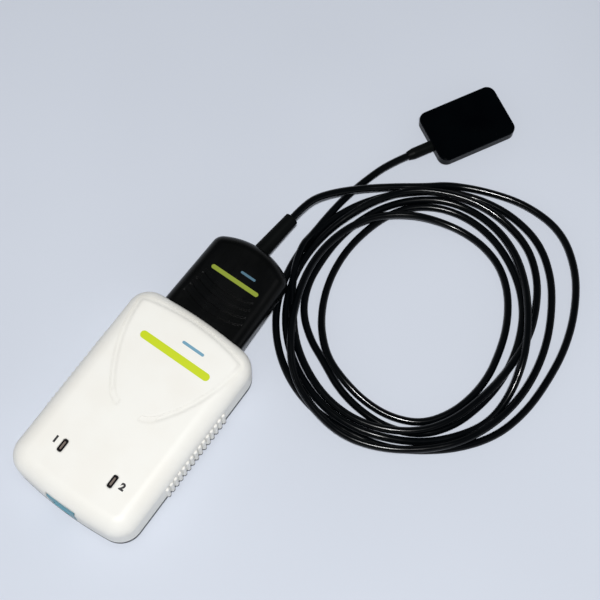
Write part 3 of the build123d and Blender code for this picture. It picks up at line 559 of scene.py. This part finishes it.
def boarded(name, look):
    material, board = newMaterial(name)
    place = board.place()
    x, y = board.axes(place)[:2]
    patches = board.cells(place, look["patch"], 1)
    along = board.axes(patches)[0].over(0.5)
    slanted = (x + y * look["trackSlant"]).repeat(look["trackPitch"])
    lane = along * slanted + (1 - along) * y.repeat(look["trackPitch"])
    unbroken = board.noise(board.stretched(place, look["gapStretch"]), look["gapSize"], 1.0)
    track = lane.under(look["trackPitch"] * look["trackShare"]) * unbroken.over(look["gapBelow"])
    padX = abs(x.repeat(look["padPitch"]) - look["padPitch"] / 2)
    padY = abs(y.repeat(look["padPitch"]) - look["padPitch"] / 2)
    pad = padX.most(padY).under(look["padSize"]) * board.axes(patches)[1].over(look["padsAbove"])
    flat = abs(board.axes(board.add("ShaderNodeTexCoord", output=1))[2]).over(0.5)
    colour = board.blend(track, look["lacquer"], look["overTrack"])
    colour = board.blend(pad, colour, look["pad"])
    colour = board.blend(flat, look["edge"], colour)
    weave = board.noise(place, look["weaveSize"])
    rough = weave.ramp(*look["weaveBand"], *look["rough"]) + (1 - flat) * look["edgeRough"]
    normal = board.bump(track.most(pad), look["trackDepth"], board.softEdge(look["softEdge"]))
    normal = board.bump(weave, look["weaveDepth"], normal)
    board.surface({"Base Color": colour, "Roughness": rough, "Metallic": pad * flat, "Normal": normal})
    return material


# The four conductors of the cable, each in its own colour

wireJackets = {
    "colours": [linear(172, 30, 28), linear(226, 226, 220), linear(38, 124, 62), linear(28, 28, 30)],
    "plugPitch": 0.8, "sensorPitch": 0.45, "sensorTurn": 60.5, "sensorMiddle": (36.41, 177.42, 0.0),
    "sensorFrom": 120.0, "rough": (0.32, 0.46), "skinSize": 0.4, "skinBand": (0.3, 0.7),
    "skinDepth": 0.01, "worn": linear(120, 118, 112), "wornBand": (0.4, 0.8), "wornShare": 0.25,
}


def striped(name, look):
    material, board = newMaterial(name)
    place = board.place()
    x, y = board.axes(place)[:2]
    across = board.axes(board.turned(place, look["sensorMiddle"], look["sensorTurn"]))[1]
    far = y.over(look["sensorFrom"])
    lane = far * (across / look["sensorPitch"]) + (1 - far) * (x / look["plugPitch"])
    colour = look["colours"][0]
    for step, nextColour in enumerate(look["colours"][1:]):
        colour = board.blend(lane.over(step - 1.0), colour, nextColour)
    skin = board.noise(place, look["skinSize"])
    worn = skin.ramp(*look["wornBand"], 0.0, look["wornShare"])
    board.surface({
        "Base Color": board.blend(worn, colour, look["worn"]),
        "Roughness": skin.ramp(*look["skinBand"], *look["rough"]),
        "Normal": board.bump(skin, look["skinDepth"]),
    })
    return material


# The imaging chip: dark silicon with its grid of cells and a bright border

imagingSilicon = {
    "colour": linear(58, 60, 74), "cell": linear(82, 78, 104), "border": linear(176, 160, 108),
    "middle": (34.5, 178.5, 0.0), "turn": 60.5, "pitch": 0.6, "line": 0.09, "half": (12.6, 9.6),
    "rough": (0.12, 0.24), "film": linear(96, 84, 128), "filmSize": 4.0, "filmBand": (0.35, 0.7),
    "filmShare": 0.35, "roughBand": (0.3, 0.7), "metallic": 0.55, "lineDepth": 0.01, "edge": 0.08,
}


def etched(name, look):
    material, board = newMaterial(name)
    place = board.turned(board.place(), look["middle"], look["turn"])
    x, y = board.axes(place)[:2]
    line = x.repeat(look["pitch"]).least(y.repeat(look["pitch"])).under(look["line"])
    inside = abs(x).under(look["half"][0]) * abs(y).under(look["half"][1])
    colour = board.blend(line, look["cell"], look["colour"])
    colour = board.blend(inside, look["border"], colour)
    film = board.noise(place, look["filmSize"])
    tinted = film.ramp(*look["filmBand"], 0.0, look["filmShare"])
    board.surface({
        "Base Color": board.blend(tinted, colour, look["film"]),
        "Roughness": film.ramp(*look["roughBand"], *look["rough"]),
        "Metallic": look["metallic"],
        "Normal": board.bump(line * inside, look["lineDepth"], board.softEdge(look["edge"])),
    })
    return material


blankLabel = mouldedBasics | {
    "colour": linear(212, 213, 212), "shade": linear(206, 206, 203), "rough": (0.3, 0.46), "edge": 0.1,
    "grainSize": 0.18, "grainDepth": 0.008, "dust": 0.15, "creaseShadeColour": linear(120, 116, 106),
}
lightSource = mouldedBasics | {
    "colour": linear(236, 232, 196), "shade": linear(228, 216, 150), "rough": (0.16, 0.26),
    "cloudSize": 0.8, "edge": 0.12, "coat": 0.4,
}
fibreGlass = mouldedBasics | {
    "colour": linear(196, 206, 204), "shade": linear(184, 196, 196), "rough": (0.1, 0.2),
    "grainSize": 0.12, "grainDepth": 0.01, "coat": 0.5, "edge": 0.1, "cloudSize": 3.0,
}
scintillatorCoating = mouldedBasics | {
    "colour": linear(232, 228, 206), "shade": linear(222, 216, 190), "rough": (0.6, 0.78),
    "grainSize": 0.1, "grainDepth": 0.02, "cloudSize": 3.0, "edge": 0.1,
}

finishLooks = {  # what makes each material slot's finish, and the numbers' ink, and from which values
    "ink": (moulded, ink),
    "blank_label": (moulded, blankLabel),
    "light_source": (moulded, lightSource),
    "fibre_glass": (moulded, fibreGlass),
    "scintillator_coating": (moulded, scintillatorCoating),
    "circuit_board": (boarded, circuitBoard),
    "wire_jackets": (striped, wireJackets),
    "silicon": (etched, imagingSilicon),
    "case_plastic": (moulded, casePlastic),
    "plug_plastic": (moulded, plugPlastic),
    "relief_rubber": (moulded, reliefRubber),
    "cable_jacket": (moulded, cableJacket),
    "sensor_plastic": (moulded, sensorPlastic),
    "teal_plastic": (moulded, tealPlastic),
    "dark_plastic": (moulded, darkPlastic),
    "port_insulator": (moulded, portInsulator),
    "smoked_window": (moulded, smokedWindow),
    "foam_pad": (moulded, foamPad),
    "chip_plastic": (moulded, chipPlastic),
    "screw_steel": (worked, screwSteel),
    "bright_can": (worked, brightCan),
    "contact_steel": (worked, contactSteel),
    "gold_contacts": (worked, goldContacts),
}
finishes = {slot: make(slot + "_finish", look) for slot, (make, look) in finishLooks.items()}
print("finishes made:", len(finishes))


def dressFrame():
    bare = set()
    for node in nodes.values():
        for holder in node.material_slots:
            slotName = holder.material.name.split(".")[0]
            if slotName in finishes:
                holder.material = finishes[slotName]
            else:
                bare.add(slotName)
    print("slots without a finish of their own:", sorted(bare))


dressFrame()
sensorCable.data.materials.append(finishes["cable_jacket"])


# Screws: a pan head with a cross recess and a threaded shank, one on each point, head down

screwSizes = {
    "Head Radius": 2.1, "Head Height": 1.3, "Recess Reach": 2.3, "Recess Width": 0.5,
    "Recess Depth": 0.7, "Shank Radius": 1.1, "Thread Depth": 0.17, "Thread Pitch": 0.8,
}
screwShape = {
    "rounding": 0.3, "roundingPower": 4, "headSteps": 12, "headSides": 32, "shankSides": 20,
    "shankRings": 90, "secondBar": 0.96,  # of the first bar's depth, so that they share no floor
    "mostTurn": 1.5, "smoothBelow": 0.6,  # radians
}
screwSets = {
    "case_screws": {
        "body": "case", "length": 9.0, "seat": 0.3, "seed": 4,
        "places": [(-20.2, -32.0), (20.2, -32.0), (-20.2, 19.0), (20.2, 19.0)],
    },
    "plug_screws": {
        "body": "plug", "length": 7.0, "seat": 3.6, "seed": 7, "places": [(-10.8, 68.8), (10.8, 68.8)],
    },
}


def screwTree(material):
    tree = bpy.data.node_groups.new("screw_set", "GeometryNodeTree")
    board = Board(tree)
    kinds = {"Geometry": "NodeSocketGeometry", "Seed": "NodeSocketInt", "Shank Length": "NodeSocketFloat"}
    kinds.update({name: "NodeSocketFloat" for name in screwSizes})
    for name, kind in kinds.items():
        tree.interface.new_socket(name, in_out="INPUT", socket_type=kind)
    tree.interface.new_socket("Geometry", in_out="OUTPUT", socket_type="NodeSocketGeometry")
    entry = tree.nodes.new("NodeGroupInput")
    given = {socket.name: Wire(board, socket) for socket in entry.outputs}
    # head: a line swept with a radius that rounds off towards the outer face
    start = board.vector(0, 0, given["Head Height"])
    line = board.add("GeometryNodeCurvePrimitiveLine", {}, {"Start": start, "End": (0, 0, 0)})
    line = board.add("GeometryNodeResampleCurve", {}, {"Curve": line, "Count": screwShape["headSteps"]})
    along = board.add("GeometryNodeSplineParameter")
    rounding = along ** screwShape["roundingPower"] * screwShape["rounding"]
    circle = board.add(
        "GeometryNodeCurvePrimitiveCircle", {},
        {"Resolution": screwShape["headSides"], "Radius": given["Head Radius"]},
    )
    head = board.add("GeometryNodeCurveToMesh", {}, {
        "Curve": line, "Profile Curve": circle, "Scale": 1 - rounding, "Fill Caps": True,
    })
    twiceDeep = given["Recess Depth"] * 2
    shallower = twiceDeep * screwShape["secondBar"]
    for size in (
        board.vector(given["Recess Reach"], given["Recess Width"], twiceDeep),
        board.vector(given["Recess Width"], given["Recess Reach"], shallower),
    ):
        bar = board.add("GeometryNodeMeshCube", {}, {"Size": size})
        head = board.add(
            "GeometryNodeMeshBoolean", {"operation": "DIFFERENCE"}, {"Mesh 1": head, "Mesh 2": bar}
        )
    # shank: a cylinder whose skin dips along a helix
    shank = board.add("GeometryNodeMeshCylinder", {}, {
        "Vertices": screwShape["shankSides"], "Side Segments": screwShape["shankRings"],
        "Radius": given["Shank Radius"], "Depth": given["Shank Length"],
    })
    x, y, z = board.axes(board.add("GeometryNodeInputPosition"))
    around = x.maths("ARCTAN2", y, x) / (2 * math.pi)
    phase = (z / given["Thread Pitch"] + around).repeat(1.0)
    dip = given["Thread Depth"] * abs(phase * 2 - 1) / given["Shank Radius"]
    inward = board.add(
        "ShaderNodeVectorMath", {"operation": "SCALE"}, {0: board.vector(x, y, 0), "Scale": dip * -1}
    )
    shank = board.add("GeometryNodeSetPosition", {}, {"Geometry": shank, "Offset": inward})
    middle = board.vector(0, 0, given["Head Height"] + given["Shank Length"] / 2)
    shank = board.add("GeometryNodeTransform", {}, {"Geometry": shank, "Translation": middle})
    screw = board.add("GeometryNodeJoinGeometry", {}, {"Geometry": [head, shank]})
    turns = {2: 0.0, 3: screwShape["mostTurn"], "Seed": given["Seed"]}
    turn = board.add("FunctionNodeRandomValue", {}, turns, 1)
    screws = board.add("GeometryNodeInstanceOnPoints", {}, {
        "Points": given["Geometry"], "Instance": screw, "Rotation": board.vector(0, 0, turn),
    })
    screws = board.add("GeometryNodeRealizeInstances", {}, {"Geometry": screws})
    soft = board.add("GeometryNodeInputMeshEdgeAngle").under(screwShape["smoothBelow"])
    for domain, smooth in (("FACE", True), ("EDGE", soft)):
        screws = board.add(
            "GeometryNodeSetShadeSmooth", {"domain": domain}, {"Geometry": screws, "Shade Smooth": smooth}
        )
    screws = board.add("GeometryNodeSetMaterial", {}, {"Geometry": screws, "Material": material})
    leave = tree.nodes.new("NodeGroupOutput")
    tree.links.new(screws.socket, leave.inputs[0])
    return tree


def grown(name, mesh, tree, values):  # the tree's result on a mesh, as a plain object
    seed = bpy.data.objects.new(name + "_seed", mesh)
    bpy.context.scene.collection.objects.link(seed)
    modifier = seed.modifiers.new("grow", "NODES")
    modifier.node_group = tree
    for item in tree.interface.items_tree:
        if item.in_out == "INPUT" and item.name in values:
            modifier[item.identifier] = values[item.name]
    seed.update_tag()
    evaluated = seed.evaluated_get(bpy.context.evaluated_depsgraph_get())
    plain = bpy.data.meshes.new_from_object(evaluated)
    seed.modifiers.remove(modifier)
    bpy.data.objects.remove(seed)
    shape = bmesh.new()
    shape.from_mesh(plain)
    volume = round(shape.calc_volume(signed=True) / mm ** 3, 1)
    openEdges = sum(1 for edge in shape.edges if not edge.is_manifold)
    print(name, "faces", len(shape.faces), "volume mm3", volume, "open edges", openEdges)
    shape.free()
    piece = bpy.data.objects.new(name, plain)
    bpy.context.scene.collection.objects.link(piece)
    return piece


def makeScrews():
    tree = screwTree(finishes["screw_steel"])
    for name, group in screwSets.items():
        seats = bpy.data.meshes.new(name)
        seats.from_pydata([(x * mm, y * mm, group["seat"] * mm) for x, y in group["places"]], [], [])
        values = {key: value * mm for key, value in screwSizes.items()}
        values |= {"Shank Length": group["length"] * mm, "Seed": group["seed"]}
        piece = grown("threaded_" + name, seats, tree, values)
        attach(piece, group["body"])
        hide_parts(name)


makeScrews()
print("screws made")


# Plain numbers beside the two status windows

windowNumbers = {
    "places": {"1": (-15.2, -26.0), "2": (15.8, -26.0)}, "height": 3.7, "rise": 0.02, "roof": 20.0,
    "bold": 0.24,
}


def makeNumbers(look):
    for text, (x, y) in look["places"].items():
        data = bpy.data.curves.new("number_" + text, "FONT")
        data.body = text
        data.size = look["height"] * mm
        data.offset = look["bold"] * mm
        data.extrude = look["rise"] * mm
        data.align_x = "CENTER"
        data.align_y = "CENTER"
        letter = bpy.data.objects.new("letter", data)
        bpy.context.scene.collection.objects.link(letter)
        evaluated = letter.evaluated_get(bpy.context.evaluated_depsgraph_get())
        plain = bpy.data.meshes.new_from_object(evaluated)
        bpy.data.objects.remove(letter)
        plain.transform(Matrix.Translation((x * mm, y * mm, look["roof"] * mm)))
        plain.materials.clear()
        plain.materials.append(finishes["ink"])
        piece = bpy.data.objects.new("window_number_" + text, plain)
        bpy.context.scene.collection.objects.link(piece)
        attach(piece, "case")


makeNumbers(windowNumbers)
print("numbers set")


# Floor, world and lamps

stageSetup = {
    "floorColour": linear(208, 214, 225),
    "floorHalf": 3.0,  # metres
    "floorRough": 0.85,
    "cloudSize": 160.0,  # mm, how broadly the floor's paler places spread
    "cloudBand": (0.3, 0.7),
    "cloudPaler": 1.04,
    "skyColour": linear(250, 252, 255),
    "skyBand": (0.0, 0.6),
    "horizon": 0.62,
    "zenith": 0.08,
    "keyOffset": (0.13, -0.22, 1.0),  # metres from the middle of the set, on the camera's side
    "keySize": 0.08,
    "keyPower": 9.4,
    "middle": (0.062, 0.070, 0.0),
}


def makeFloor():
    half = stageSetup["floorHalf"]
    mesh = bpy.data.meshes.new("floor")
    corners = [(-half, -half, 0), (half, -half, 0), (half, half, 0), (-half, half, 0)]
    mesh.from_pydata(corners, [], [(0, 1, 2, 3)])
    floor = bpy.data.objects.new("floor", mesh)
    bpy.context.scene.collection.objects.link(floor)
    material, board = newMaterial("floor_finish")
    cloud = board.noise(board.place(), stageSetup["cloudSize"]).ramp(*stageSetup["cloudBand"])
    paler = tuple(min(1.0, value * stageSetup["cloudPaler"]) for value in stageSetup["floorColour"])
    colour = board.blend(cloud, stageSetup["floorColour"], paler)
    board.surface({"Base Color": colour, "Roughness": stageSetup["floorRough"]})
    mesh.materials.append(material)


def makeWorld():
    world = bpy.data.worlds.new("studio")
    bpy.context.scene.world = world
    world.use_nodes = True
    board = Board(world.node_tree)
    direction = board.add("ShaderNodeTexCoord")
    height = board.axes(direction)[2]
    level = height.ramp(*stageSetup["skyBand"], stageSetup["horizon"], stageSetup["zenith"])
    light = board.add("ShaderNodeBackground", {}, {"Color": stageSetup["skyColour"], "Strength": level})
    board.add("ShaderNodeOutputWorld", {}, {"Surface": light})


def makeKeyLamp():
    data = bpy.data.lights.new("key", "AREA")
    data.size = stageSetup["keySize"]
    data.energy = stageSetup["keyPower"]
    lamp = bpy.data.objects.new("key", data)
    bpy.context.scene.collection.objects.link(lamp)
    offset = Vector(stageSetup["keyOffset"])
    lamp.location = Vector(stageSetup["middle"]) + offset
    lamp.rotation_euler = offset.to_track_quat("Z", "Y").to_euler()


makeFloor()
makeWorld()
makeKeyLamp()
print("stage lit")

bpy.context.view_layer.update()
